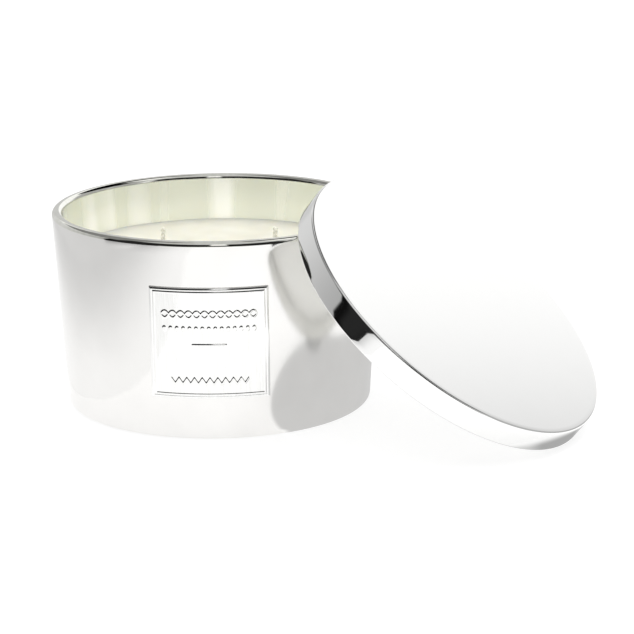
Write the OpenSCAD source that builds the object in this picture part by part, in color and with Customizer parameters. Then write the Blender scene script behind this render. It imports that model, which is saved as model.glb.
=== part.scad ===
// Three-wick candle: thick-walled plated glass jar, embossed plate, wax fill and a pressed metal lid.
// Millimetres, +Z up. The origin is the centre of the jar's base, on the surface it stands on.
// The jar's label faces -Y, and the lid leans against the rim with its lower edge on the same surface.

/* [Jar] */
// Outside diameter at the rim
rim_d = 150; // [140:1:170]
// Outside diameter where the wall meets the base
base_d = 139.4; // [130:0.2:139.6]
// Height of the jar
jar_h = 90.5; // [80:0.5:110]
// Thickness of the glass wall
wall_t = 4.8; // [4.5:0.1:6]
// Thickness of the glass floor at the wall
floor_t = 9; // [7:0.5:14]
// Rounding of the rim's two edges
rim_r = 2.2; // [0.8:0.1:2.2]
// Rounding of the outside edge at the base
foot_r = 3; // [1:0.5:4]
// Rounding inside, between wall and floor
inner_r = 7; // [3:0.5:10]
// Radius of the hollow under the base
punt_r = 52; // [30:1:58]
// Depth of the hollow under the base
punt_h = 1.6; // [1:0.1:3]

/* [Wax and wicks] */
// Height of the wax surface above the table
wax_level = 69; // [50:0.5:72]
// Radius of the circle the wicks stand on
wick_ring_r = 30; // [24:1:38]
// Diameter of the braided wick
wick_d = 2.4; // [1.8:0.1:3.2]
// Length of wick that stands out of the wax
wick_proud = 8; // [5:0.5:10]
// Diameter of the metal tab that holds a wick upright
tab_d = 20; // [15:0.5:24]
// Sheet thickness of the tab
tab_t = 0.4; // [0.3:0.05:0.6]
// Height of the tab's neck above its disc
neck_h = 6; // [3:0.5:8]
// Wall thickness of the tab's neck
neck_t = 0.4; // [0.3:0.05:0.6]
// Diameter of the adhesive disc under a tab
sticker_d = 18; // [12:0.5:20]
// Thickness of the adhesive disc
sticker_t = 0.8; // [0.4:0.1:1.2]

/* [Labels] */
// Width of the front plate
plate_w = 52; // [40:1:60]
// Height of the front plate
plate_h = 50.5; // [40:0.5:54]
// Height of the front plate's lower edge above the table
plate_z = 19.5; // [12:0.5:26]
// Thickness of the front plate
plate_t = 0.5; // [0.3:0.1:0.8]
// How far the raised borders stand out of the plate
border_h = 0.3; // [0.2:0.05:0.5]
// Width of each raised border
border_w = 0.8; // [0.5:0.1:1.2]
// Gap between the two raised borders
border_gap = 0.4; // [0.4:0.1:1.5]
// Thickness of the tape behind the front plate
tape_t = 0.2; // [0.15:0.05:0.4]
// Diameter of the blank label under the base
base_label_d = 64; // [30:1:96]
// Thickness of the blank label under the base
base_label_t = 0.15; // [0.1:0.05:0.3]

/* [Lid] */
// Outside diameter of the lid
lid_d = 155.5; // [155:0.5:160]
// Height of the lid's skirt
lid_h = 11.5; // [11:0.1:13]
// Sheet thickness of the lid
lid_t = 0.8; // [0.6:0.1:0.9]
// Rounding of the lid's top edge
lid_edge_r = 0.9; // [0.9:0.1:1.4]
// Thickness of the rolled hem at the lid's lower edge
hem_t = 1.6; // [1.4:0.1:1.7]
// Height of the rolled hem
hem_h = 2.4; // [2:0.1:3]
// Thickness of the foam liner inside the lid
liner_t = 1; // [0.8:0.1:1.2]
// Thickness of the tape that holds the liner
liner_tape_t = 0.15; // [0.1:0.05:0.2]

/* [Leaning lid] */
// Tilt of the lid from lying flat
lean_tilt = 39.5; // [39:0.1:41]
// Direction the lid leans out, counter-clockwise from +X
lean_az = -24.7; // [-180:0.1:180]
// Gap left between the lid's hem and the rim
lean_gap = 0.4; // [0.15:0.05:0.4]

/* [Hidden] */

$fn = 96;
arc_steps = 6;              // straight steps in each rounded edge of a turned outline
rim_ro = rim_d / 2;
rim_ri = rim_ro - wall_t;
base_ro = base_d / 2;
wall_slope = (rim_ro - base_ro) / (jar_h - rim_r);
punt_slope = 4;             // the hollow's edge runs in over this width
inner_floor_r = base_ro + wall_slope * floor_t - wall_t;

wick_r = wick_d / 2;
wick_angles = [150, 30, -90];
tab_z = floor_t + sticker_t;
wick_top = wax_level + wick_proud;

border_inset = 0.4;         // the outer border stands back from the plate's cut edge by this much
skin_gap = 0.03;            // air between the jar and the tape stuck on it
tape_inset = 1;             // the tape ends this far inside the plate's edge
plate_back = skin_gap + tape_t;

lid_ro = lid_d / 2;
hem_r = hem_t / 2;
hem_ring_r = lid_ro - hem_r;
liner_gap = 0.4;            // air between the liner's edge and the skirt
liner_tape_inset = 4;       // the liner's tape ends this far inside its edge
liner_r = lid_ro - lid_t - liner_gap;
liner_tape_r = liner_r - liner_tape_inset;

// Radius of the jar's outside at height z
function jar_r(z) = base_ro + wall_slope * z;

// Points of an arc in the r, z plane
function arc(centre, r, from, to) =
    [for (i = [0 : arc_steps]) let (a = from + (to - from) * i / arc_steps)
        centre + r * [cos(a), sin(a)]];

// Distance from a point at radius r and height z to the rim, a bar with two rounded edges
function rim_distance(r, z) =
    let (out = max(r - (rim_ro - rim_r), (rim_ri + rim_r) - r, 0),
         up = max(z - (jar_h - rim_r), 0))
    norm([out, up]) - rim_r;

// Smallest distance between hem and rim, with the hem ring's centre d out from the jar's axis
function hem_distance(d) =
    min([for (a = [0 : 0.25 : 60])
        let (x = d - hem_ring_r * cos(a) * cos(lean_tilt),
             y = hem_ring_r * sin(a),
             z = hem_centre_z + hem_ring_r * cos(a) * sin(lean_tilt))
        rim_distance(norm([x, y]), z) - hem_r]);

// The distance out at which the hem just leaves lean_gap to the rim, by halving the span n times
function lean_out(lo, hi, n) =
    let (mid = (lo + hi) / 2)
    n == 0 ? mid : hem_distance(mid) < lean_gap ? lean_out(mid, hi, n - 1) : lean_out(lo, mid, n - 1);

hem_centre_z = hem_ring_r * sin(lean_tilt) + hem_r;
hem_centre_x = lean_out(rim_ro * 1.2, rim_ro * 2, 24);

// Carries a lid piece from its own frame, lower edge at z = 0, to where it leans
module lean() {
    rotate([0, 0, lean_az])
        translate([hem_centre_x, 0, hem_centre_z])
            rotate([0, lean_tilt, 0])
                translate([0, 0, -hem_r])
                    children();
}

module at_wick(i) {
    translate([wick_ring_r * cos(wick_angles[i]), wick_ring_r * sin(wick_angles[i]), 0])
        children();
}

// A ring-shaped solid that follows the jar's outside, from depth_in to depth_out past its surface
module jar_skin(depth_in, depth_out, z0, z1) {
    rotate_extrude()
        polygon([[jar_r(z0) + depth_in, z0], [jar_r(z0) + depth_out, z0],
                 [jar_r(z1) + depth_out, z1], [jar_r(z1) + depth_in, z1]]);
}

// A window in front of the jar, inset from the plate's edge
module plate_window(inset) {
    translate([-plate_w / 2 + inset, -rim_ro * 1.2, plate_z + inset])
        cube([plate_w - 2 * inset, rim_ro * 1.2, plate_h - 2 * inset]);
}

module border(inset) {
    intersection() {
        jar_skin(plate_back, plate_back + plate_t + border_h, plate_z, plate_z + plate_h);
        difference() {
            plate_window(inset);
            plate_window(inset + border_w);
        }
    }
}

module jar() {
    color("gainsboro")
        rotate_extrude()
            polygon(concat(
                [[0, punt_h], [punt_r, punt_h], [punt_r + punt_slope, 0]],
                arc([jar_r(foot_r) - foot_r, foot_r], foot_r, -90, 0),
                arc([rim_ro - rim_r, jar_h - rim_r], rim_r, 0, 90),
                arc([rim_ri + rim_r, jar_h - rim_r], rim_r, 90, 180),
                arc([inner_floor_r - inner_r, floor_t + inner_r], inner_r, 0, -90),
                [[0, floor_t]]));
}

module wax_fill() {
    color("ivory")
        difference() {
            rotate_extrude()
                polygon(concat(
                    [[0, floor_t]],
                    arc([inner_floor_r - inner_r, floor_t + inner_r], inner_r, -90, 0),
                    [[inner_floor_r + (rim_ri - inner_floor_r) * (wax_level - floor_t - inner_r)
                        / (jar_h - rim_r - floor_t - inner_r), wax_level],
                     [0, wax_level]]));
            for (i = [0 : len(wick_angles) - 1])
                at_wick(i) {
                    translate([0, 0, floor_t - 1])
                        cylinder(d = sticker_d, h = 1 + sticker_t);
                    translate([0, 0, tab_z])
                        cylinder(d = tab_d, h = tab_t);
                    translate([0, 0, tab_z])
                        cylinder(r = wick_r + neck_t, h = tab_t + neck_h);
                    cylinder(r = wick_r, h = wax_level + 1);
                }
        }
}

module wick(i) {
    color("linen")
        at_wick(i)
            translate([0, 0, tab_z])
                cylinder(r = wick_r, h = wick_top - tab_z);
}

module wick_tab(i) {
    color("silver")
        at_wick(i)
            translate([0, 0, tab_z])
                difference() {
                    union() {
                        cylinder(r = tab_d / 2, h = tab_t);
                        cylinder(r = wick_r + neck_t, h = tab_t + neck_h);
                    }
                    translate([0, 0, -1])
                        cylinder(r = wick_r, h = tab_t + neck_h + 2);
                }
}

module tab_sticker(i) {
    color("white")
        at_wick(i)
            translate([0, 0, floor_t])
                cylinder(r = sticker_d / 2, h = sticker_t);
}

module front_plate() {
    color("silver") {
        intersection() {
            jar_skin(plate_back, plate_back + plate_t, plate_z, plate_z + plate_h);
            plate_window(0);
        }
        border(border_inset);
        border(border_inset + border_w + border_gap);
    }
}

module front_plate_tape() {
    color("whitesmoke")
        intersection() {
            jar_skin(skin_gap, plate_back, plate_z, plate_z + plate_h);
            plate_window(tape_inset);
        }
}

module base_label() {
    color("white")
        translate([0, 0, punt_h - base_label_t])
            cylinder(d = base_label_d, h = base_label_t);
}

module lid_shell() {
    color("silver")
        lean()
            rotate_extrude()
                polygon(concat(
                    [[0, lid_h]],
                    arc([lid_ro - lid_edge_r, lid_h - lid_edge_r], lid_edge_r, 90, 0),
                    arc([lid_ro - hem_r, hem_r], hem_r, 0, -180),
                    [[lid_ro - hem_t, hem_h],
                     [lid_ro - lid_t, hem_h],
                     [lid_ro - lid_t, lid_h - lid_t],
                     [0, lid_h - lid_t]]));
}

module lid_liner() {
    color("white")
        lean()
            translate([0, 0, lid_h - lid_t - liner_tape_t - liner_t])
                cylinder(r = liner_r, h = liner_t);
}

module lid_liner_tape() {
    color("whitesmoke")
        lean()
            translate([0, 0, lid_h - lid_t - liner_tape_t])
                cylinder(r = liner_tape_r, h = liner_tape_t);
}

jar();
wax_fill();
wick(0);  // wick_left
wick(1);  // wick_right
wick(2);  // wick_front
wick_tab(0);  // wick_tab_left
wick_tab(1);  // wick_tab_right
wick_tab(2);  // wick_tab_front
tab_sticker(0);  // tab_sticker_left
tab_sticker(1);  // tab_sticker_right
tab_sticker(2);  // tab_sticker_front
front_plate();
front_plate_tape();
base_label();
lid_shell();
lid_liner();
lid_liner_tape();
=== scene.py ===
import math
import bpy
import numpy as np
from mathutils import Matrix, Vector


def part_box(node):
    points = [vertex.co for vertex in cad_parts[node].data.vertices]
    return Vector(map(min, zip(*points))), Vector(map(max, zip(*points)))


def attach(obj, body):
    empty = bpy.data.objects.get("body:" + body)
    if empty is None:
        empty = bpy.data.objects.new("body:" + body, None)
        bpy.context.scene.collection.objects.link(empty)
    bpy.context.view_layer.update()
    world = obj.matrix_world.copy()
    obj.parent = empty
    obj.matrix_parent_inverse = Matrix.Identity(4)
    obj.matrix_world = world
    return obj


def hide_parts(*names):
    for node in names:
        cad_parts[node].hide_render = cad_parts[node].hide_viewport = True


# Three-wick candle: plated glass jar, embossed plate, wax and a pressed lid that leans on the rim.
# Sizes are in metres. mm turns a size in millimetres into metres.
mm = 0.001

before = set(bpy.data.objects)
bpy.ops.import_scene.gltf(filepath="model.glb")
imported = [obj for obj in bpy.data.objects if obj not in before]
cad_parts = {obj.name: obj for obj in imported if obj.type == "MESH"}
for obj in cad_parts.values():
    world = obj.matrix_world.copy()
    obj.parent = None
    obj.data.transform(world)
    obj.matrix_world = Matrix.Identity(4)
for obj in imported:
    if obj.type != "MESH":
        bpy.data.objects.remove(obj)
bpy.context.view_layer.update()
scene = bpy.context.scene
print("frame loaded")


# ---- small tools ----

def hexToLinear(hexCode):
    srgb = np.array([int(hexCode[i:i + 2], 16) / 255 for i in (1, 3, 5)])
    linear = np.where(srgb <= 0.04045, srgb / 12.92, ((srgb + 0.055) / 1.055) ** 2.4)
    return (*linear.tolist(), 1.0)


def addNode(tree, kind, settings=None, links=None):
    # settings: attribute or input name -> value. links: input name -> output socket
    node = tree.nodes.new(kind)
    for key, value in (settings or {}).items():
        if isinstance(key, str) and hasattr(node, key):
            setattr(node, key, value)
        else:
            node.inputs[key].default_value = value
    for key, socket in (links or {}).items():
        tree.links.new(socket, node.inputs[key])
    return node


def newMaterial(name, shaderSettings):
    material = bpy.data.materials.new(name)
    material.use_nodes = True
    tree = material.node_tree
    tree.nodes.clear()
    shader = addNode(tree, "ShaderNodeBsdfPrincipled", shaderSettings)
    addNode(tree, "ShaderNodeOutputMaterial", links={"Surface": shader.outputs[0]})
    place = addNode(tree, "ShaderNodeTexCoord").outputs["Object"]
    return material, tree, shader, place


def smoothStep(low, high, value):
    t = np.clip((value - low) / (high - low), 0, 1)
    return t * t * (3 - 2 * t)


def arcPoints(centre, radius, start, end, steps):
    # points on a circle about centre, from angle start to angle end in degrees
    a = np.radians(np.linspace(start, end, steps + 1))
    return np.stack([centre[0] + radius * np.cos(a), centre[1] + radius * np.sin(a)], 1)


def polyline(points, step):
    # straight runs cut into steps no longer than step, so shading stays even across them
    pieces = []
    for a, b in zip(points[:-1], points[1:]):
        count = max(1, int(np.ceil(np.linalg.norm(b - a) / step)))
        t = np.arange(count)[:, None] / count
        pieces.append(a + (b - a) * t)
    pieces.append(points[-1:])
    return np.concatenate(pieces)


def signedVolume(verts, faces):
    a, b, c, d = (verts[faces[:, i]] for i in range(4))
    one = np.einsum("ij,ij->i", a, np.cross(b, c)).sum()
    two = np.einsum("ij,ij->i", a, np.cross(c, d)).sum()
    return (one + two) / 6


def makePiece(name, verts, faces, body, materials, stands, faceSlots=None):
    # verts is N x 3, faces is a list of index lists, stands lists the CAD nodes that the piece shows
    mesh = bpy.data.meshes.new(name)
    mesh.from_pydata(verts.tolist(), [], faces)
    for material in materials:
        mesh.materials.append(material)
    if faceSlots is not None:
        mesh.polygons.foreach_set("material_index", np.asarray(faceSlots, np.int32))
    mesh.polygons.foreach_set("use_smooth", np.ones(len(mesh.polygons), bool))
    mesh.validate()
    mesh.update()
    piece = bpy.data.objects.new(name, mesh)
    scene.collection.objects.link(piece)
    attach(piece, body)
    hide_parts(*stands)
    return piece


def gridFaces(rows, cols, closeCols=True):
    # quads between neighbouring rows and columns of a rows x cols grid of points
    r = np.arange(rows - 1)[:, None]
    c = np.arange(cols if closeCols else cols - 1)[None, :]
    n = (c + 1) % cols
    corners = [r * cols + c, r * cols + n, (r + 1) * cols + n, (r + 1) * cols + c]
    return np.stack(corners, -1).reshape(-1, 4)


def turned(profile, segments, wobble=None):
    # profile: points (r, z). Point(i, a) = (r_i cos a, r_i sin a, z_i). An end on the axis becomes one pole
    # point. wobble, when given, takes r, a and z of every point and gives back r and z.
    # rowOf gives each face's row, for a piece with several materials
    startPole, endPole = profile[0, 0] < 1e-9, profile[-1, 0] < 1e-9
    rings = profile[int(startPole):len(profile) - int(endPole)]
    a = np.arange(segments) * 2 * np.pi / segments
    r, z = (np.repeat(rings[:, i:i + 1], segments, axis=1) for i in (0, 1))
    if wobble is not None:
        r, z = wobble(r, a[None, :], z)
    verts = np.stack([r * np.cos(a), r * np.sin(a), z], -1).reshape(-1, 3)
    quads = gridFaces(len(rings), segments)
    faces = quads.tolist()
    rowOf = np.repeat(np.arange(len(rings) - 1), segments).tolist()
    s = np.arange(segments)
    n = (s + 1) % segments
    if startPole:
        pole = len(verts)
        verts = np.vstack([verts, [0, 0, profile[0, 1]]])
        faces += np.stack([np.full(segments, pole), n, s], -1).tolist()
        rowOf += [-1] * segments
    if endPole:
        pole = len(verts)
        last = (len(rings) - 1) * segments
        verts = np.vstack([verts, [0, 0, profile[-1, 1]]])
        faces += np.stack([np.full(segments, pole), last + s, last + n], -1).tolist()
        rowOf += [len(rings) - 1] * segments
    if not startPole and not endPole:      # a closed ring: join the last row to the first
        last = (len(rings) - 1) * segments
        faces += np.stack([last + s, last + n, n, s], -1).tolist()
        rowOf += [len(rings) - 1] * segments
    if signedVolume(verts, quads) < 0:
        faces = [f[::-1] for f in faces]
    return verts, faces, np.array(rowOf)


# ---- places taken from the frame ----

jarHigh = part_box("jar")[1]
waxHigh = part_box("wax_fill")[1]

rimRadius = jarHigh.x
jarHeight = jarHigh.z

# The lid leans: its axis is tilted towards the azimuth, and its liner, a plain disc, gives the centre.
lidLean = {"tilt": math.radians(39.5), "azimuth": math.radians(-24.7)}
lidSize = {"radius": 77.75 * mm, "height": 11.5 * mm, "sheet": 0.8 * mm, "edge": 0.9 * mm,
           "hem": 1.6 * mm, "hemHeight": 2.4 * mm, "tape": 0.15 * mm, "liner": 1.0 * mm}
linerMiddle = lidSize["height"] - lidSize["sheet"] - lidSize["tape"] - lidSize["liner"] / 2
linerLow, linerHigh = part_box("lid_liner")
lidTurn = Matrix.Rotation(lidLean["azimuth"], 3, "Z") @ Matrix.Rotation(lidLean["tilt"], 3, "Y")
lidAxis = lidTurn @ Vector((0, 0, 1))
lidOrigin = (linerLow + linerHigh) / 2 - lidAxis * linerMiddle


def leanPoints(verts):
    return verts @ np.array(lidTurn).T + np.array(lidOrigin)


# ---- camera: long lens, a little above the rim ----

view = {"azimuth": 1.09, "elevation": 14.79, "roll": -0.531, "distance": 1.1985, "lens": 147.28,
        "aim": (45.49 * mm, 0.87 * mm, 37.22 * mm), "sensor": 36, "clip": (0.05, 60)}
az, el, roll = (math.radians(view[k]) for k in ("azimuth", "elevation", "roll"))
back = Vector((math.sin(az) * math.cos(el), -math.cos(az) * math.cos(el), math.sin(el)))
side = Vector((math.cos(az), math.sin(az), 0))
up = back.cross(side)
sideRolled = side * math.cos(roll) + up * math.sin(roll)
upRolled = up * math.cos(roll) - side * math.sin(roll)
camera = bpy.data.objects.new("camera", bpy.data.cameras.new("camera"))
camera.data.lens = view["lens"]
camera.data.sensor_width = view["sensor"]
camera.data.clip_start, camera.data.clip_end = view["clip"]
camera.matrix_world = Matrix.Translation(Vector(view["aim"]) + back * view["distance"]) @ \
    Matrix((sideRolled, upRolled, back)).transposed().to_4x4()
scene.collection.objects.link(camera)
scene.camera = camera
print("camera set")


# ---- materials ----

def dress(tree, shader, pattern, tones, rough, span=(0.3, 0.7), bump=None):
    # one pattern sets the tone between two colours and the roughness between two values. bump, when given,
    # is the pattern that stands out of the surface, how strongly it shows and how deep it is
    tone = addNode(tree, "ShaderNodeValToRGB", links={"Fac": pattern})
    for element, place, code in zip(tone.color_ramp.elements, span, tones):
        element.position, element.color = place, hexToLinear(code)
    dull = addNode(tree, "ShaderNodeMapRange", {"From Min": span[0], "From Max": span[1],
                                                "To Min": rough[0], "To Max": rough[1]}, {"Value": pattern})
    tree.links.new(tone.outputs["Color"], shader.inputs["Base Color"])
    tree.links.new(dull.outputs["Result"], shader.inputs["Roughness"])
    if bump:
        raised = addNode(tree, "ShaderNodeBump", {"Strength": bump[1], "Distance": bump[2]},
                         {"Height": bump[0]})
        tree.links.new(raised.outputs["Normal"], shader.inputs["Normal"])


def satinPlating():
    # Silvered frosted glass: etched, then plated. Soft, nearly white metal that blurs what it mirrors.
    # The etch grain is about 0.05 mm, drawn at 0.4 mm so that it shows.
    material, tree, shader, place = newMaterial("frostedGlassSilverPlated", {"Metallic": 1.0})
    cloud = addNode(tree, "ShaderNodeTexNoise", {"Scale": 45.0, "Detail": 3.0}, {"Vector": place})
    grain = addNode(tree, "ShaderNodeTexNoise", {"Scale": 2500.0, "Detail": 2.0}, {"Vector": place})
    dress(tree, shader, cloud.outputs["Fac"], ("#F2F1EF", "#F7F6F4"), (0.105, 0.13),
          bump=(grain.outputs["Fac"], 0.06, 0.05 * mm))
    return material


def polishedRim():
    # Fire-polished glass under bright silver: a sharp mirror with faint wiping marks
    material, tree, shader, place = newMaterial("firePolishedGlassSilver", {"Metallic": 1.0})
    smear = addNode(tree, "ShaderNodeTexNoise", {"Scale": 400.0, "Detail": 4.0}, {"Vector": place})
    dress(tree, shader, smear.outputs["Fac"], ("#EAEAE2", "#F4F4EE"), (0.04, 0.09))
    return material


def mirrorInside():
    # Frosted silver seen through the clear glass wall: a blurred mirror with the glass's faint green-cream
    # tint, under a sharp glass surface. A faint even glow (emission) is painted light that brightens the wall. A
    # few bright upright streaks, some 15 mm apart, are painted highlights in its colour, and a little smoother.
    material, tree, shader, place = newMaterial("frostedSilverUnderGlass", {
        "Metallic": 1.0, "Coat Weight": 1.0, "Coat Roughness": 0.03,
        "Emission Color": hexToLinear("#F5F5E8"), "Emission Strength": 0.16})
    drawn = addNode(tree, "ShaderNodeMapping", {"Scale": (1.0, 1.0, 0.04)}, {"Vector": place})
    paintedHighlightStreak = addNode(tree, "ShaderNodeTexNoise", {"Scale": 70.0, "Detail": 1.0},
                     {"Vector": drawn.outputs["Vector"]})
    # painted highlights: the upright streaks run from the tinted mirror colour to white
    dress(tree, shader, paintedHighlightStreak.outputs["Fac"], ("#EBEDE2", "#FFFFFF"), (0.28, 0.22), (0.5, 0.68))
    return material


def candleWax():
    # Poured paraffin and soy blend: cream, smooth, lets light in a few millimetres.
    # Cooling leaves clouds about 10 mm wide and fine pits, 0.3 mm, drawn at 1 mm.
    material, tree, shader, place = newMaterial("pouredSoyParaffinWax", {
        "IOR": 1.44, "Subsurface Weight": 0.6, "Subsurface Radius": (1.0, 0.85, 0.6),
        "Subsurface Scale": 5 * mm})
    cloud = addNode(tree, "ShaderNodeTexNoise", {"Scale": 100.0, "Detail": 4.0}, {"Vector": place})
    pits = addNode(tree, "ShaderNodeTexNoise", {"Scale": 1000.0, "Detail": 2.0}, {"Vector": place})
    dress(tree, shader, cloud.outputs["Fac"], ("#DBD9CA", "#E4E2D5"), (0.3, 0.45),
          bump=(pits.outputs["Fac"], 0.12, 0.2 * mm))
    return material


def waxedCotton():
    # Bleached cotton braid dipped in wax: pale, slightly glossy, with fibres 0.02 mm thick drawn at 0.3 mm
    material, tree, shader, place = newMaterial("waxedCottonBraid", {
        "IOR": 1.46, "Sheen Weight": 0.2, "Subsurface Weight": 0.4, "Subsurface Radius": (1.0, 0.95, 0.85),
        "Subsurface Scale": 1 * mm})
    fibre = addNode(tree, "ShaderNodeTexNoise", {"Scale": 3500.0, "Detail": 3.0}, {"Vector": place})
    dress(tree, shader, fibre.outputs["Fac"], ("#F1EEE1", "#F7F5EB"), (0.4, 0.6),
          bump=(fibre.outputs["Fac"], 0.4, 0.08 * mm))
    return material


def tinnedSteel():
    # Stamped tinplate: a dull mirror with faint rolling lines
    material, tree, shader, place = newMaterial("stampedTinplate", {"Metallic": 1.0})
    rolled = addNode(tree, "ShaderNodeMapping", {"Scale": (1.0, 0.05, 1.0)}, {"Vector": place})
    lines = addNode(tree, "ShaderNodeTexNoise", {"Scale": 2500.0, "Detail": 4.0},
                    {"Vector": rolled.outputs["Vector"]})
    dress(tree, shader, lines.outputs["Fac"], ("#B2B2B0", "#D2D2CF"), (0.26, 0.42),
          bump=(lines.outputs["Fac"], 0.1, 0.02 * mm))
    return material


def adhesiveFoam():
    # Die-cut acrylic foam: matt, with cells about 0.4 mm
    material, tree, shader, place = newMaterial("dieCutAcrylicFoam", {"IOR": 1.49})
    cells = addNode(tree, "ShaderNodeTexVoronoi", {"Scale": 2200.0}, {"Vector": place})
    dress(tree, shader, cells.outputs["Distance"], ("#E3E2DB", "#F6F5F0"), (0.55, 0.7), (0.0, 0.8),
          bump=(cells.outputs["Distance"], 0.3, 0.05 * mm))
    return material


def embossedSheet():
    # Die-stamped bright aluminium, lacquered: nearly a mirror, softened by the rolled grain
    material, tree, shader, place = newMaterial("stampedBrightAluminium", {"Metallic": 1.0})
    rolled = addNode(tree, "ShaderNodeMapping", {"Scale": (1.0, 1.0, 0.06)}, {"Vector": place})
    grain = addNode(tree, "ShaderNodeTexNoise", {"Scale": 1500.0, "Detail": 4.0},
                    {"Vector": rolled.outputs["Vector"]})
    dress(tree, shader, grain.outputs["Fac"], ("#F3F3F1", "#FCFCFB"), (0.06, 0.11),
          bump=(grain.outputs["Fac"], 0.04, 0.03 * mm))
    return material


def clearTape(name):
    # Double-sided polyester tape: clear film with a milky adhesive
    material, tree, shader, place = newMaterial(name, {"IOR": 1.47, "Coat Weight": 0.3})
    haze = addNode(tree, "ShaderNodeTexNoise", {"Scale": 500.0, "Detail": 3.0}, {"Vector": place})
    dress(tree, shader, haze.outputs["Fac"], ("#DEDDD4", "#F0EFEA"), (0.35, 0.55),
          bump=(haze.outputs["Fac"], 0.1, 0.05 * mm))
    return material


def coatedPaper():
    # Coated label paper, left blank: smooth white with faint fibre clouds about 1 mm wide
    material, tree, shader, place = newMaterial("coatedLabelPaper", {"IOR": 1.5})
    fibre = addNode(tree, "ShaderNodeTexNoise", {"Scale": 1400.0, "Detail": 5.0}, {"Vector": place})
    dress(tree, shader, fibre.outputs["Fac"], ("#E9E9E4", "#F8F8F5"), (0.4, 0.55),
          bump=(fibre.outputs["Fac"], 0.15, 0.03 * mm))
    return material


def mirrorPlate():
    # Drawn steel, buffed and nickel plated: a clean mirror. Buffing leaves soft swirls about 20 mm wide,
    # and hairlines that are far too fine to show, so both are drawn as a faint change in roughness.
    material, tree, shader, place = newMaterial("buffedNickelPlatedSteel", {"Metallic": 1.0})
    swirl = addNode(tree, "ShaderNodeTexNoise", {"Scale": 60.0, "Detail": 5.0, "Distortion": 1.5},
                    {"Vector": place})
    dress(tree, shader, swirl.outputs["Fac"], ("#F8F8F7", "#F9F9F8"), (0.03, 0.06))
    return material


def foamSheet():
    # Closed-cell polyethylene foam: white, matt, with cells about 0.8 mm
    material, tree, shader, place = newMaterial("closedCellFoam", {
        "IOR": 1.5, "Subsurface Weight": 0.2, "Subsurface Radius": (1.0, 1.0, 0.95),
        "Subsurface Scale": 1 * mm})
    cells = addNode(tree, "ShaderNodeTexVoronoi", {"Scale": 1200.0}, {"Vector": place})
    dress(tree, shader, cells.outputs["Distance"], ("#F0F0EB", "#FCFCF8"), (0.5, 0.7), (0.0, 0.8),
          bump=(cells.outputs["Distance"], 0.4, 0.1 * mm))
    return material


# ---- jar ----

jar = {"wall": 4.8 * mm, "floor": 9 * mm, "rimRound": 2.2 * mm, "foot": 3 * mm, "innerFoot": 7 * mm,
       "baseRadius": 69.7 * mm, "puntRadius": 52 * mm, "puntHeight": 1.6 * mm, "puntSlope": 4 * mm,
       "wave": 0.05 * mm, "waves": ((0.5, 7, 0.6), (0.3, 13, 2.1), (0.2, 29, 4.0)), "step": 4 * mm,
       "waveFromFloor": 6 * mm, "waveToRim": 4 * mm, "segments": 384}
wallSlope = (rimRadius - jar["baseRadius"]) / (jarHeight - jar["rimRound"])
floorInside = jar["baseRadius"] + wallSlope * jar["floor"] - jar["wall"]


def jarRadius(z):
    return jar["baseRadius"] + wallSlope * z


def glassWave(angle):
    # blown glass is never quite round inside: the sum of share sin(count angle + start), in metres
    return jar["wave"] * sum(share * np.sin(count * angle + start) for share, count, start in jar["waves"])


def buildJar():
    # Profile (r, z) from the middle of the base, out, up the outside, over the rim, down the inside to the
    # floor. The inner wall then moves out by the glass wave, which fades towards the floor and the rim.
    j = jar
    rimInside, rimMiddle = rimRadius - j["wall"], jarHeight - j["rimRound"]
    t = np.linspace(0, 1, 13)[:, None]
    hollow = np.hstack([j["puntRadius"] + j["puntSlope"] * t, j["puntHeight"] * (1 - smoothStep(0, 1, t))])
    outside = np.concatenate([
        [[0, j["puntHeight"]]], hollow,
        arcPoints((jarRadius(j["foot"]) - j["foot"], j["foot"]), j["foot"], -90, 0, 16)])
    rim = np.concatenate([
        arcPoints((rimRadius - j["rimRound"], rimMiddle), j["rimRound"], 0, 90, 16),
        arcPoints((rimInside + j["rimRound"], rimMiddle), j["rimRound"], 90, 180, 16)])
    inside = np.concatenate([
        arcPoints((floorInside - j["innerFoot"], j["floor"] + j["innerFoot"]), j["innerFoot"], 0, -90, 16),
        [[0, j["floor"]]]])
    lower = polyline(outside, j["step"])
    upper = polyline(np.vstack([outside[-1:], rim, inside[:1]]), j["step"])
    profile = np.vstack([lower[:-1], upper, polyline(inside, j["step"])[1:]])
    r, z = profile[1:-1].T
    within = (r < rimInside + 0.4 * mm) & (z > j["floor"] - 0.1 * mm)
    fade = smoothStep(0, j["waveFromFloor"], z - j["floor"]) * smoothStep(0, j["waveToRim"], jarHeight - z)
    share = np.where(within, fade, 0)[:, None]
    verts, faces, rowOf = turned(profile, j["segments"], lambda r, a, z: (r + share * glassWave(a), z))
    onRim = np.flatnonzero(profile[:, 1] > rimMiddle - 0.01 * mm)
    rimStart, rimEnd = onRim[0], onRim[-1]
    slots = np.where(rowOf < rimStart - 1, 0, np.where(rowOf < rimEnd - 1, 1, 2))
    return makePiece("jarGlass", verts, faces, "jar",
                     [satinPlating(), polishedRim(), mirrorInside()], ["jar"], slots)


buildJar()
print("jar built")


# ---- wicks and what holds them ----

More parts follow.
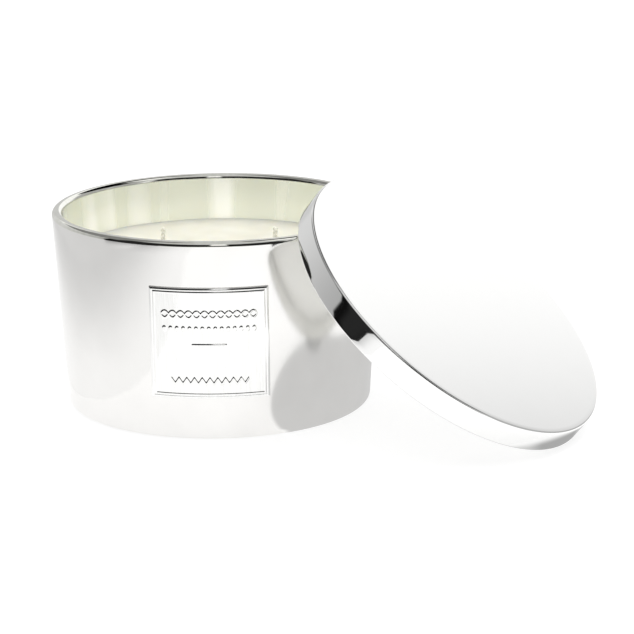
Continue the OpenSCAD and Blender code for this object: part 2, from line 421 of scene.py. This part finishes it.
wick = {"ring": 30 * mm, "angles": {"left": 150, "right": 30, "front": -90}, "top": jarHeight - 13.5 * mm,
        "strand": 0.56 * mm, "swing": 0.6 * mm, "depth": 0.42 * mm, "pitch": 5.5 * mm, "step": 0.3 * mm,
        "sides": 16, "lobes": 4, "lobeDepth": 0.07, "twist": 0.35, "start": 9.8 * mm, "tipLean": 0.35 * mm,
        "cuts": (0.0, 0.5 * mm, 0.25 * mm), "spread": 0.15, "spreadFrom": 2 * mm, "tip": 0.5 * mm, "blunt": 0.08}
tab = {"radius": 10 * mm, "sheet": 0.4 * mm, "neck": 6 * mm, "neckRadius": 1.6 * mm, "bore": 1.2 * mm,
       "boreRound": 0.1 * mm, "bead": 0.25 * mm, "beadAt": 6.5 * mm, "beadRound": 0.6 * mm,
       "neckRound": 0.6 * mm, "lipRound": 0.2 * mm, "pinch": 0.12, "pinchLow": (2 * mm, 3.5 * mm),
       "pinchHigh": (6 * mm, 4.5 * mm), "segments": 72}
sticker = {"radius": 9 * mm, "thick": 0.8 * mm, "round": 0.15 * mm, "segments": 72}


def wickPlace(sideName):
    a = math.radians(wick["angles"][sideName])
    return np.array([wick["ring"] * math.cos(a), wick["ring"] * math.sin(a), 0])


def tube(path, radius):
    # A strand along a path. Point(i, k) = path_i + r_i (N_i cos k + B_i sin k), where r swells by lobes
    # that twist: r = radius_i (1 + depth cos(lobes k + twist i))
    sides = wick["sides"]
    tangent = np.gradient(path, axis=0)
    tangent /= np.linalg.norm(tangent, axis=1, keepdims=True)
    normal = np.cross(tangent, [0.0, 1.0, 0.0])
    normal /= np.linalg.norm(normal, axis=1, keepdims=True)
    binormal = np.cross(tangent, normal)
    k = np.arange(sides) * 2 * np.pi / sides
    along = np.arange(len(path))[:, None] * wick["twist"]
    r = (radius[:, None] * (1 + wick["lobeDepth"] * np.cos(wick["lobes"] * k[None, :] + along)))[..., None]
    outwards = normal[:, None, :] * np.cos(k)[None, :, None] + binormal[:, None, :] * np.sin(k)[None, :, None]
    ring = path[:, None, :] + r * outwards
    verts = np.vstack([ring.reshape(-1, 3), path[:1], path[-1:]])
    quads = gridFaces(len(path), sides)
    s = np.arange(sides)
    n = (s + 1) % sides
    last = (len(path) - 1) * sides
    caps = np.vstack([np.stack([np.full(sides, len(path) * sides), n, s], -1),
                      np.stack([np.full(sides, len(path) * sides + 1), last + s, last + n], -1)])
    if signedVolume(verts, quads) < 0:
        quads, caps = quads[:, ::-1], caps[:, ::-1]
    return verts, quads.tolist() + caps.tolist()


def buildWick(sideName, turn):
    # Three strands in a flat braid: x = swing sin t, y = depth sin 2t, a third of a turn apart.
    # The cut ends stand a little apart and lean, and each one is drawn in to a blunt tip.
    w = wick
    verts, faces = [], []
    for strand in range(3):
        top = w["top"] - w["cuts"][strand]
        z = np.linspace(w["start"], top, int((top - w["start"]) / w["step"]))
        phase = 2 * np.pi * (z / w["pitch"] + strand / 3)
        free = smoothStep(waxHigh.z, w["top"], z)
        spread = 1 + w["spread"] * smoothStep(top - w["spreadFrom"], top, z)
        x = w["swing"] * np.sin(phase) * spread + w["tipLean"] * free
        y = w["depth"] * np.sin(2 * phase) * spread
        path = np.stack([x * math.cos(turn) - y * math.sin(turn), x * math.sin(turn) + y * math.cos(turn), z], 1)
        fromEnd = np.minimum(z - w["start"], top - z) / w["tip"]
        strandVerts, strandFaces = tube(path, w["strand"] * np.sqrt(np.clip(fromEnd, w["blunt"], 1)))
        first = sum(len(v) for v in verts)
        faces += [[i + first for i in face] for face in strandFaces]
        verts.append(strandVerts)
    verts = np.vstack(verts) + wickPlace(sideName)
    return makePiece("wick" + sideName.capitalize(), verts, faces, "jar",
                     [cotton], ["wick_" + sideName])


def buildTab(sideName):
    # Turned profile of a stamped disc with a stiffening bead and a neck, which is pinched on the wick
    # from four sides: r shrinks by pinch cos(2a)^4
    t = tab
    base, top, half = wick["start"], wick["start"] + t["sheet"], t["sheet"] / 2
    bore, bead, neck, lip = t["boreRound"], t["beadRound"], t["neckRound"], t["lipRound"]
    profile = np.concatenate([
        arcPoints((t["bore"] + bore, base + bore), bore, 180, 270, 4),
        arcPoints((t["radius"] - half, base + half), half, -90, 90, 8),
        arcPoints((t["beadAt"], top - bead), bead + t["bead"], 45, 135, 8),
        arcPoints((t["neckRadius"] + neck, top + neck), neck, 270, 180, 6),
        arcPoints((t["neckRadius"] - lip, top + t["neck"] - lip), lip, 0, 180, 6)])
    profile = polyline(np.vstack([profile, profile[:1]]), 0.6 * mm)[:-1]

    def pinch(r, a, z):
        grip = smoothStep(*t["pinchLow"], z - base) * smoothStep(*t["pinchHigh"], z - base)
        onNeck = r < t["neckRadius"] + 0.3 * mm
        return np.where(onNeck, r * (1 - t["pinch"] * grip * np.cos(2 * a) ** 4), r), z

    verts, faces = turned(profile, t["segments"], pinch)[:2]
    return makePiece("wickTab" + sideName.capitalize(), verts + wickPlace(sideName), faces, "jar",
                     [tinplate], ["wick_tab_" + sideName])


def discProfile(radius, low, high, edge):
    # (r, z) of a flat disc whose two edges are rounded
    return np.concatenate([[[0, low]], arcPoints((radius - edge, low + edge), edge, -90, 0, 5),
                           arcPoints((radius - edge, high - edge), edge, 0, 90, 5), [[0, high]]])


def buildSticker(sideName):
    profile = discProfile(sticker["radius"], jar["floor"], jar["floor"] + sticker["thick"], sticker["round"])
    verts, faces = turned(polyline(profile, 1.5 * mm), sticker["segments"])[:2]
    return makePiece("tabSticker" + sideName.capitalize(), verts + wickPlace(sideName), faces, "jar",
                     [stickerFoam], ["tab_sticker_" + sideName])


cotton, tinplate, stickerFoam = waxedCotton(), tinnedSteel(), adhesiveFoam()
for sideName, turn in (("left", 0.5), ("right", -0.4), ("front", 1.3)):
    buildWick(sideName, turn)
    buildTab(sideName)
    buildSticker(sideName)
print("wicks built")


# ---- wax ----

wax = {"meniscus": 0.9 * mm, "climb": 1.6 * mm, "sink": 0.5 * mm, "sinkWidth": 7 * mm, "swell": 0.06 * mm,
       "swellTurns": (130, 110), "wickRise": 0.8 * mm, "wickEdge": 1.1 * mm, "wickFall": 0.5 * mm,
       "gap": 0.02 * mm, "fineRings": 8, "fineStep": 0.4 * mm, "ringStep": 0.78 * mm, "segments": 320}


def waxTop(x, y, edge):
    # height of the wax at (x, y): level, up by a meniscus at the wall, down by a soft dent round each wick,
    # up again in a small collar on the wick itself, and with a slow swell. edge is the distance to the wall.
    height = waxHigh.z - wax["meniscus"] * (1 - np.exp(-edge / wax["climb"]))
    for sideName in wick["angles"]:
        px, py = wickPlace(sideName)[:2]
        away = np.hypot(x - px, y - py)
        height -= wax["sink"] * np.exp(-(away / wax["sinkWidth"]) ** 2) * smoothStep(0, 8 * mm, edge)
        height += wax["wickRise"] * np.exp(-np.clip(away - wax["wickEdge"], 0, None) / wax["wickFall"])
    turnX, turnY = wax["swellTurns"]
    return height + wax["swell"] * np.sin(x * turnX + 1) * np.sin(y * turnY + 2)


def buildWax():
    # the underside is turned; the top is the same rings with the height worked out point by point
    topRadius = jarRadius(waxHigh.z) - jar["wall"] - wax["gap"]
    foot = jar["innerFoot"]
    under = np.vstack([[[0, jar["floor"]]],
                       arcPoints((floorInside - foot, jar["floor"] + foot), foot, -90, 0, 10),
                       [[topRadius, waxHigh.z]]])
    under = polyline(under, 5 * mm)
    fine = np.arange(1, wax["fineRings"] + 1) * wax["fineStep"]
    rings = topRadius - np.concatenate([fine, np.arange(fine[-1], topRadius, wax["ringStep"])[1:]])
    rings = np.append(rings[rings > 0.3 * mm], 0)
    profile = np.vstack([under, np.stack([rings, np.full(len(rings), waxHigh.z)], 1)])
    topRows = np.zeros(len(profile) - 2, bool)
    topRows[len(under) - 2:] = True
    wallRows = (profile[1:-1, 1] > jar["floor"] + foot) & ~topRows

    def shape(r, a, z):
        r = r + (wallRows | topRows)[:, None] * glassWave(a) * smoothStep(0.85, 1, r / topRadius)
        edge = np.clip(topRadius - r, 0, None)
        return r, np.where(topRows[:, None], waxTop(r * np.cos(a), r * np.sin(a), edge), z)

    verts, faces = turned(profile, wax["segments"], shape)[:2]
    verts[-1, 2] = waxTop(0.0, 0.0, topRadius)
    return makePiece("waxPour", verts, faces, "jar", [candleWax()], ["wax_fill"])


buildWax()
print("wax built")


# ---- front plate and its tape ----

plate = {"width": 52 * mm, "height": 50.5 * mm, "low": 19.5 * mm, "thick": 0.5 * mm, "back": 0.23 * mm,
         "ridgeHeight": 0.32 * mm, "pressLow": 0.4, "ridgeRise": 1.15 * mm, "ridgeFall": 0.3 * mm,
         "ridges": (1.0 * mm, 2.15 * mm), "cutRound": 0.18 * mm, "relief": 0.25 * mm, "slope": 0.42 * mm,
         "columns": 237, "rows": 228, "tape": 0.2 * mm, "tapeInset": 1 * mm, "tapeColumns": 41, "tapeRows": 21}
# the ornament: a plait of two waves, a row of beads, a short rule and a zigzag
plait = {"z": 58.0 * mm, "swing": 1.5 * mm, "wave": 7.0 * mm, "waves": 6, "half": 0.62 * mm}
beads = {"z": 51.4 * mm, "tall": 1.5 * mm, "wide": 1.05 * mm, "pitch": 2.8 * mm, "count": 15, "flat": 0.55}
rule = {"z": 44.2 * mm, "halfWidth": 8 * mm, "halfHeight": 0.6 * mm}
zigzag = {"z": 27.6 * mm, "swing": 1.3 * mm, "wave": 3.4 * mm, "waves": 10, "half": 0.62 * mm, "strength": 1.15}


def ridge(value, centre, half):
    return 0.5 + 0.5 * np.cos(np.pi * np.clip(np.abs(value - centre) / half, 0, 1))


def ornamentRelief(x, z):
    # 1 on a raised line or bead, 0 off it, with soft flanks. The plait is z = +-swing sin(2 pi x / wave), a bead
    # an ellipse, the rule a bar and the zigzag a saw of slope 4 swing / wave. A line's width is measured
    # across it, so the distance in z is divided by the length of its slope.
    turn = 2 * np.pi * x / plait["wave"]
    steep = np.hypot(1, plait["swing"] * 2 * np.pi / plait["wave"] * np.cos(turn))
    strands = [ridge(np.abs(z - plait["z"] - way * plait["swing"] * np.sin(turn)) / steep, 0, plait["half"])
               for way in (1, -1)]
    plaited = np.maximum(*strands) * (np.abs(x) < plait["wave"] * plait["waves"] / 2)

    dx = (x + beads["count"] * beads["pitch"] / 2) % beads["pitch"] - beads["pitch"] / 2
    reach = np.hypot(dx / beads["wide"], (z - beads["z"]) / beads["tall"])
    beaded = smoothStep(1.0, beads["flat"], reach) * (np.abs(x) < beads["count"] * beads["pitch"] / 2)

    bar = smoothStep(rule["halfHeight"], rule["halfHeight"] - plate["slope"], np.abs(z - rule["z"])) * \
        smoothStep(rule["halfWidth"], rule["halfWidth"] - 2 * plate["slope"], np.abs(x))

    saw = 4 * np.abs(x / zigzag["wave"] % 1 - 0.5) - 1
    away = np.abs(z - zigzag["z"] - zigzag["swing"] * saw) / np.hypot(1, 4 * zigzag["swing"] / zigzag["wave"])
    zigzagged = ridge(away, 0, zigzag["half"]) * (np.abs(x) < zigzag["wave"] * zigzag["waves"] / 2)
    return plaited + beaded + bar + zigzag["strength"] * zigzagged


def plateDepth(x, z):
    # how far the face stands out from the plate's back, in metres: sheet, two ridges round the edge, ornament
    p = plate
    fromEdge = np.minimum(p["width"] / 2 - np.abs(x), np.minimum(z - p["low"], p["low"] + p["height"] - z))
    # each ridge climbs slowly from the outer side and drops quickly on the inner side
    ridges = sum(np.where(fromEdge < peak, ridge(fromEdge, peak, p["ridgeRise"]),
                          ridge(fromEdge, peak, p["ridgeFall"])) for peak in p["ridges"])
    rounding = p["cutRound"] * (1 - np.sqrt(1 - (1 - np.clip(fromEdge / p["cutRound"], 0, 1)) ** 2))
    # the press bites deeper at the top
    bite = p["pressLow"] + (1 - p["pressLow"]) * (z - p["low"]) / p["height"]
    return p["thick"] + bite * p["ridgeHeight"] * ridges + p["relief"] * ornamentRelief(x, z) - rounding


def wrapped(x, z, front, back):
    # A sheet bent round the jar. Point(x, z, depth) = (x, -sqrt((R(z) + depth)^2 - x^2), z).
    # front is the depth of the face at each grid point, back the depth behind it. The back needs only its top
    # and bottom rows, because the jar's wall is straight upwards.
    rows, cols = len(z), len(x)
    gx, gz = np.meshgrid(x, z)
    face = np.stack([gx, -np.sqrt((jarRadius(gz) + front) ** 2 - gx ** 2), gz], -1).reshape(-1, 3)
    bx, bz = np.meshgrid(x, z[[0, -1]])
    rear = np.stack([bx, -np.sqrt((jarRadius(bz) + back) ** 2 - bx ** 2), bz], -1).reshape(-1, 3)
    verts = np.vstack([face, rear])
    c = np.arange(cols - 1)
    top, low, high = (rows - 1) * cols, rows * cols, (rows + 1) * cols
    quads = np.vstack([gridFaces(rows, cols, False),
                       np.stack([low + c, high + c, high + c + 1, low + c + 1], -1),
                       np.stack([c, low + c, low + c + 1, c + 1], -1),
                       np.stack([top + c, top + c + 1, high + c + 1, high + c], -1)])
    sideRows = np.arange(rows) * cols
    faces = quads.tolist()
    faces.append([low] + sideRows.tolist() + [high])
    faces.append([high + cols - 1] + (sideRows[::-1] + cols - 1).tolist() + [low + cols - 1])
    return verts, faces


def spaced(low, high, count, edge):
    # even steps, with three finer ones at each end for the rounded cut edge
    fine = edge * np.array([0.0, 0.12, 0.4, 1.0])
    return np.concatenate([low + fine, np.linspace(low + edge, high - edge, count)[1:-1], high - fine[::-1]])


def buildPlate():
    p = plate
    x = spaced(-p["width"] / 2, p["width"] / 2, p["columns"], p["cutRound"])
    z = spaced(p["low"], p["low"] + p["height"], p["rows"], p["cutRound"])
    verts, faces = wrapped(x, z, p["back"] + plateDepth(*np.meshgrid(x, z)), p["back"])
    makePiece("frontPlate", verts, faces, "jar", [embossedSheet()], ["front_plate"])
    x = np.linspace(-1, 1, p["tapeColumns"]) * (p["width"] / 2 - p["tapeInset"])
    z = np.linspace(p["low"] + p["tapeInset"], p["low"] + p["height"] - p["tapeInset"], p["tapeRows"])
    verts, faces = wrapped(x, z, np.full((len(z), len(x)), p["back"]), p["back"] - p["tape"])
    makePiece("frontPlateTape", verts, faces, "jar", [clearTape("plateTapeAcrylic")],
              ["front_plate_tape"])


buildPlate()
print("plate built")


# ---- base label ----

label = {"radius": 32 * mm, "thick": 0.15 * mm, "edge": 0.05 * mm, "segments": 128}


def buildLabel():
    top = jar["puntHeight"]
    profile = discProfile(label["radius"], top - label["thick"], top, label["edge"])
    verts, faces = turned(polyline(profile, 3 * mm), label["segments"])[:2]
    return makePiece("baseLabel", verts, faces, "jar", [coatedPaper()], ["base_label"])


buildLabel()
print("label built")


# ---- lid ----

lidForm = {"crown": 0.12 * mm, "segments": 384, "hemLip": 0.35 * mm, "hemWeld": 0.02 * mm,
           "insideRound": 0.25 * mm, "linerGap": 0.4 * mm, "linerEdge": 0.3 * mm, "linerSegments": 256,
           "dentRadius": 72.6 * mm, "dentHalf": 3.2 * mm, "dent": 0.18 * mm,
           "tapeInset": 4 * mm, "tapeEdge": 0.05 * mm, "tapeSegments": 160}


def buildLid():
    # Profile (r, z) in the lid's own frame: crowned top, rounded edge, skirt, rolled hem, then back inside
    s, f = lidSize, lidForm
    hemRound = s["hem"] / 2
    flatRadius = s["radius"] - s["edge"]
    r = np.linspace(0, flatRadius, 40)[:-1, None]
    crown = np.hstack([r, s["height"] - f["crown"] * (r / flatRadius) ** 2])
    lowEdge = s["height"] - f["crown"] - s["edge"]
    inside, ceiling = s["radius"] - s["sheet"], s["height"] - s["sheet"]
    lip, weld, corner = f["hemLip"], f["hemWeld"], f["insideRound"]
    profile = np.concatenate([
        crown,
        arcPoints((flatRadius, lowEdge), s["edge"], 90, 0, 14),
        arcPoints((s["radius"] - hemRound, hemRound), hemRound, 0, -180, 20),
        arcPoints((s["radius"] - s["hem"] + lip, s["hemHeight"] - lip), lip, 180, 90, 6),
        [[inside - weld, s["hemHeight"]], [inside, s["hemHeight"] + weld]],
        arcPoints((inside - corner, ceiling - corner), corner, 0, 90, 5),
        [[0, ceiling]]])
    verts, faces = turned(polyline(profile, 2 * mm), f["segments"])[:2]
    return makePiece("lidShell", leanPoints(verts), faces, "lid", [mirrorPlate()], ["lid_shell"])


def buildLiner():
    # Foam disc with soft edges; the jar's rim has pressed a shallow ring into its lower face
    s, f = lidSize, lidForm
    high = s["height"] - s["sheet"] - s["tape"]
    low = high - s["liner"]
    radius = s["radius"] - s["sheet"] - f["linerGap"]
    profile = polyline(discProfile(radius, low, high, f["linerEdge"]), 0.8 * mm)
    under = profile[:, 1] < low + 0.01 * mm
    profile[:, 1] += np.where(under, f["dent"] * ridge(profile[:, 0], f["dentRadius"], f["dentHalf"]), 0)
    verts, faces = turned(profile, f["linerSegments"])[:2]
    makePiece("lidLiner", leanPoints(verts), faces, "lid", [foamSheet()], ["lid_liner"])
    profile = polyline(discProfile(radius - f["tapeInset"], high, high + s["tape"], f["tapeEdge"]), 4 * mm)
    verts, faces = turned(profile, f["tapeSegments"])[:2]
    makePiece("lidLinerTape", leanPoints(verts), faces, "lid", [clearTape("linerTapeAcrylic")],
              ["lid_liner_tape"])


buildLid()
buildLiner()
print("lid built")


# ---- studio ----

# The table glows a little from below, as a light table does. The mirrors show only its middle. To the left of
# the jar they show a glowing strip, seen in reflections only, that fades away from the object: a painted
# reflection that gives the jar's flank its shade.
table = {"paper": "#808080", "glow": 0.81, "reach": 6.0, "left": -0.085, "right": 0.30, "imageEnd": -0.29,
         "imageHeight": 0.1 * mm, "fadeFrom": -0.10, "fadeTo": -0.30, "near": 1.02, "far": 0.66}
# The room is drawn as cards round the object: azimuth from the camera's side, positive to the right, and
# elevation, all in degrees, each with the widths of its two soft edges. level is how bright a card is.
room = {"wall": 1.08, "ceiling": 0.6, "ceilingFrom": 30.0, "ceilingFull": 46.0}
cards = [{"azimuth": (-168, -40), "soft": (10, 42), "elevation": (-60, 24), "edge": (20, 6), "level": 0.70},
         {"azimuth": (-150, -70), "soft": (90, 3), "elevation": (-14, 24), "edge": (14, 6), "level": 0.38},
         {"azimuth": (-156, -60), "soft": (16, 8), "elevation": (20, 84), "edge": (6, 8), "level": 0.24},
         {"azimuth": (-181, -152), "soft": (1, 8), "elevation": (-12, 50), "edge": (6, 10), "level": 0.62},
         {"azimuth": (-81, -36), "soft": (2, 3), "elevation": (-16, 30), "edge": (5, 6), "level": 0.005},
         {"azimuth": (-76, 62), "soft": (6, 12), "elevation": (-12, 50), "edge": (8, 8), "level": 0.02},
         {"azimuth": (58, 100), "soft": (10, 12), "elevation": (-12, 50), "edge": (10, 10), "level": 0.42},
         {"azimuth": (-3, 12), "soft": (3, 3), "elevation": (19, 56), "edge": (4, 6), "level": 1.00},
         {"azimuth": (88, 146), "soft": (10, 12), "elevation": (-60, 42), "edge": (14, 14), "level": 0.44},
         {"azimuth": (70, 130), "soft": (10, 10), "elevation": (50, 76), "edge": (8, 8), "level": 1.10},
         {"azimuth": (84, 163), "soft": (6, 4), "elevation": (29, 56), "edge": (3, 6), "level": 0.0},
         {"azimuth": (116, 164), "soft": (8, 4), "elevation": (30, 82), "edge": (3, 5), "level": 0.0}]
# The mirrors show the lid's shadow on the table deeper: a half disc that runs on backwards, for glossy rays
# only. It is darkest round the point where the lid touches the table, and "deep" is how far from there the
# deepest part begins and ends to fade.
lidShade = {"middle": (100 * mm, -46 * mm), "dark": 66 * mm, "clear": 70 * mm, "back": 90 * mm, "steps": 64,
            "height": 0.2 * mm, "touch": (156 * mm, -83 * mm), "deep": (13 * mm, 24 * mm), "low": (0.42, 0.64),
            "high": 1.02}
topLight = {"place": 0.04, "height": 3.0, "size": 6.0, "power": 180.0}
# a surface that only glows
glowOnly = {"Base Color": (0, 0, 0, 1), "Specular IOR Level": 0.0, "Emission Color": (1, 1, 1, 1)}


def stageSheet(name, points, height, material):
    # a flat sheet with one face through points (x, y) at the height
    mesh = bpy.data.meshes.new(name)
    mesh.from_pydata([(x, y, height) for x, y in points], [], [tuple(range(len(points)))])
    mesh.materials.append(material)
    sheet = bpy.data.objects.new(name, mesh)
    scene.collection.objects.link(sheet)
    return sheet


def strip(left, right):
    reach = table["reach"]
    return [(left, -reach), (right, -reach), (right, reach), (left, reach)]


def buildTable():
    t, h = table, lidShade
    paper, tree, shader, place = newMaterial("paleLightTable", {
        "Roughness": 0.7, "Emission Color": (1, 1, 1, 1), "Emission Strength": t["glow"]})
    fibre = addNode(tree, "ShaderNodeTexNoise", {"Scale": 300.0, "Detail": 3.0}, {"Vector": place})
    dress(tree, shader, fibre.outputs["Fac"], (t["paper"], t["paper"]), (0.65, 0.75))
    for name, left, right in (("tableLeft", -t["reach"], t["left"]), ("tableMiddle", t["left"], t["right"]),
                              ("tableRight", t["right"], t["reach"])):
        sheet = stageSheet(name, strip(left, right), 0, paper)
        sheet.visible_glossy = name == "tableMiddle"

    # a glowing sheet seen in reflections only: a painted reflection of the table, bright near the jar and fading
    # to the left
    glow, tree, shader, place = newMaterial("paintedReflectionGlow", glowOnly)
    x = addNode(tree, "ShaderNodeSeparateXYZ", links={"Vector": place}).outputs["X"]
    level = addNode(tree, "ShaderNodeMapRange", {
        "interpolation_type": "SMOOTHSTEP", "From Min": t["fadeTo"], "From Max": t["fadeFrom"],
        "To Min": t["far"], "To Max": t["near"]}, {"Value": x})
    tree.links.new(level.outputs["Result"], shader.inputs["Emission Strength"])
    reflectionStrip = stageSheet("paintedTableReflection", strip(t["imageEnd"], t["left"]), t["imageHeight"], glow)

    # the half disc's glow is set by the distance from its middle; behind the middle only x counts
    shade, tree, shader, place = newMaterial("lidShadeInMirrors", glowOnly)
    spot = addNode(tree, "ShaderNodeSeparateXYZ", links={"Vector": place})
    ahead = addNode(tree, "ShaderNodeMath", {"operation": "MINIMUM", 1: h["middle"][1]}, {0: spot.outputs["Y"]})
    spot = addNode(tree, "ShaderNodeCombineXYZ", links={"X": spot.outputs["X"], "Y": ahead.outputs[0]})
    away = addNode(tree, "ShaderNodeVectorMath", {"operation": "DISTANCE", 1: (*h["middle"], 0)},
                   {0: spot.outputs[0]})
    near = addNode(tree, "ShaderNodeVectorMath", {"operation": "DISTANCE", 1: (*h["touch"], h["height"])},
                   {0: place})
    inner = addNode(tree, "ShaderNodeMapRange", {
        "interpolation_type": "SMOOTHSTEP", "From Min": h["deep"][0], "From Max": h["deep"][1],
        "To Min": h["low"][0], "To Max": h["low"][1]}, {"Value": near.outputs["Value"]})
    level = addNode(tree, "ShaderNodeMapRange", {
        "interpolation_type": "SMOOTHSTEP", "From Min": h["dark"], "From Max": h["clear"], "To Max": h["high"]},
        {"Value": away.outputs["Value"], "To Min": inner.outputs["Result"]})
    tree.links.new(level.outputs["Result"], shader.inputs["Emission Strength"])
    ring = arcPoints(h["middle"], h["clear"], 180, 360, h["steps"]).tolist()
    ring += [[ring[-1][0], h["back"]], [ring[0][0], h["back"]]]
    shadeSheet = stageSheet("lidShade", ring, h["height"], shade)
    for sheet in (reflectionStrip, shadeSheet):
        for kind in ("camera", "diffuse", "transmission", "volume_scatter", "shadow"):
            setattr(sheet, "visible_" + kind, False)


def buildRoom():
    world = bpy.data.worlds.new("softStudio")
    scene.world = world
    world.use_nodes = True
    tree = world.node_tree
    sky = tree.nodes["Background"]
    # azimuth = atan2(x, -y) and elevation = asin z of the direction, in degrees
    way = addNode(tree, "ShaderNodeTexCoord").outputs["Generated"]
    way = addNode(tree, "ShaderNodeSeparateXYZ", links={"Vector": way})
    forward = addNode(tree, "ShaderNodeMath", {"operation": "MULTIPLY", 1: -1.0}, {0: way.outputs["Y"]})
    azimuth = addNode(tree, "ShaderNodeMath", {"operation": "ARCTAN2"},
                      {0: way.outputs["X"], 1: forward.outputs[0]}).outputs[0]
    elevation = addNode(tree, "ShaderNodeMath", {"operation": "ARCSINE"}, {0: way.outputs["Z"]}).outputs[0]
    azimuth, elevation = (addNode(tree, "ShaderNodeMath", {"operation": "DEGREES"}, {0: angle}).outputs[0]
                          for angle in (azimuth, elevation))

    light = addNode(tree, "ShaderNodeMapRange", {
        "interpolation_type": "SMOOTHSTEP", "From Min": room["ceilingFrom"], "From Max": room["ceilingFull"],
        "To Min": room["wall"], "To Max": room["ceiling"]}, {"Value": elevation}).outputs["Result"]
    for card in cards:
        # the card's mask is the product of four soft edges: in and out along its azimuth and its elevation
        mask = None
        for value, span, soft in ((azimuth, card["azimuth"], card["soft"]),
                                  (elevation, card["elevation"], card["edge"])):
            for start, end, low in ((span[0], span[0] + soft[0], 0.0), (span[1] - soft[1], span[1], 1.0)):
                edge = addNode(tree, "ShaderNodeMapRange", {
                    "interpolation_type": "SMOOTHSTEP", "From Min": float(start), "From Max": float(end),
                    "To Min": low, "To Max": 1 - low}, {"Value": value}).outputs["Result"]
                if mask:
                    edge = addNode(tree, "ShaderNodeMath", {"operation": "MULTIPLY"},
                                   {0: mask, 1: edge}).outputs[0]
                mask = edge
        light = addNode(tree, "ShaderNodeMix", {"data_type": "FLOAT", "B": card["level"]},
                        {"Factor": mask, "A": light}).outputs[0]
    # seen straight on, past the table's edge, the room is one even wall
    seen = addNode(tree, "ShaderNodeLightPath").outputs["Is Camera Ray"]
    light = addNode(tree, "ShaderNodeMix", {"data_type": "FLOAT", "B": room["wall"]},
                    {"Factor": seen, "A": light}).outputs[0]
    tree.links.new(light, sky.inputs["Strength"])
    sky.inputs["Color"].default_value = (1, 1, 1, 1)

    # a wide soft light overhead for the paper, the wax and the wicks; the mirrors don't show it
    lamp = bpy.data.lights.new("topLight", "AREA")
    lamp.shape, lamp.size, lamp.energy = "DISK", topLight["size"], topLight["power"]
    top = bpy.data.objects.new("topLight", lamp)
    top.location = (topLight["place"], 0, topLight["height"])
    top.visible_glossy = False
    scene.collection.objects.link(top)
    scene.view_settings.view_transform = "Standard"


buildTable()
buildRoom()
print("studio built")
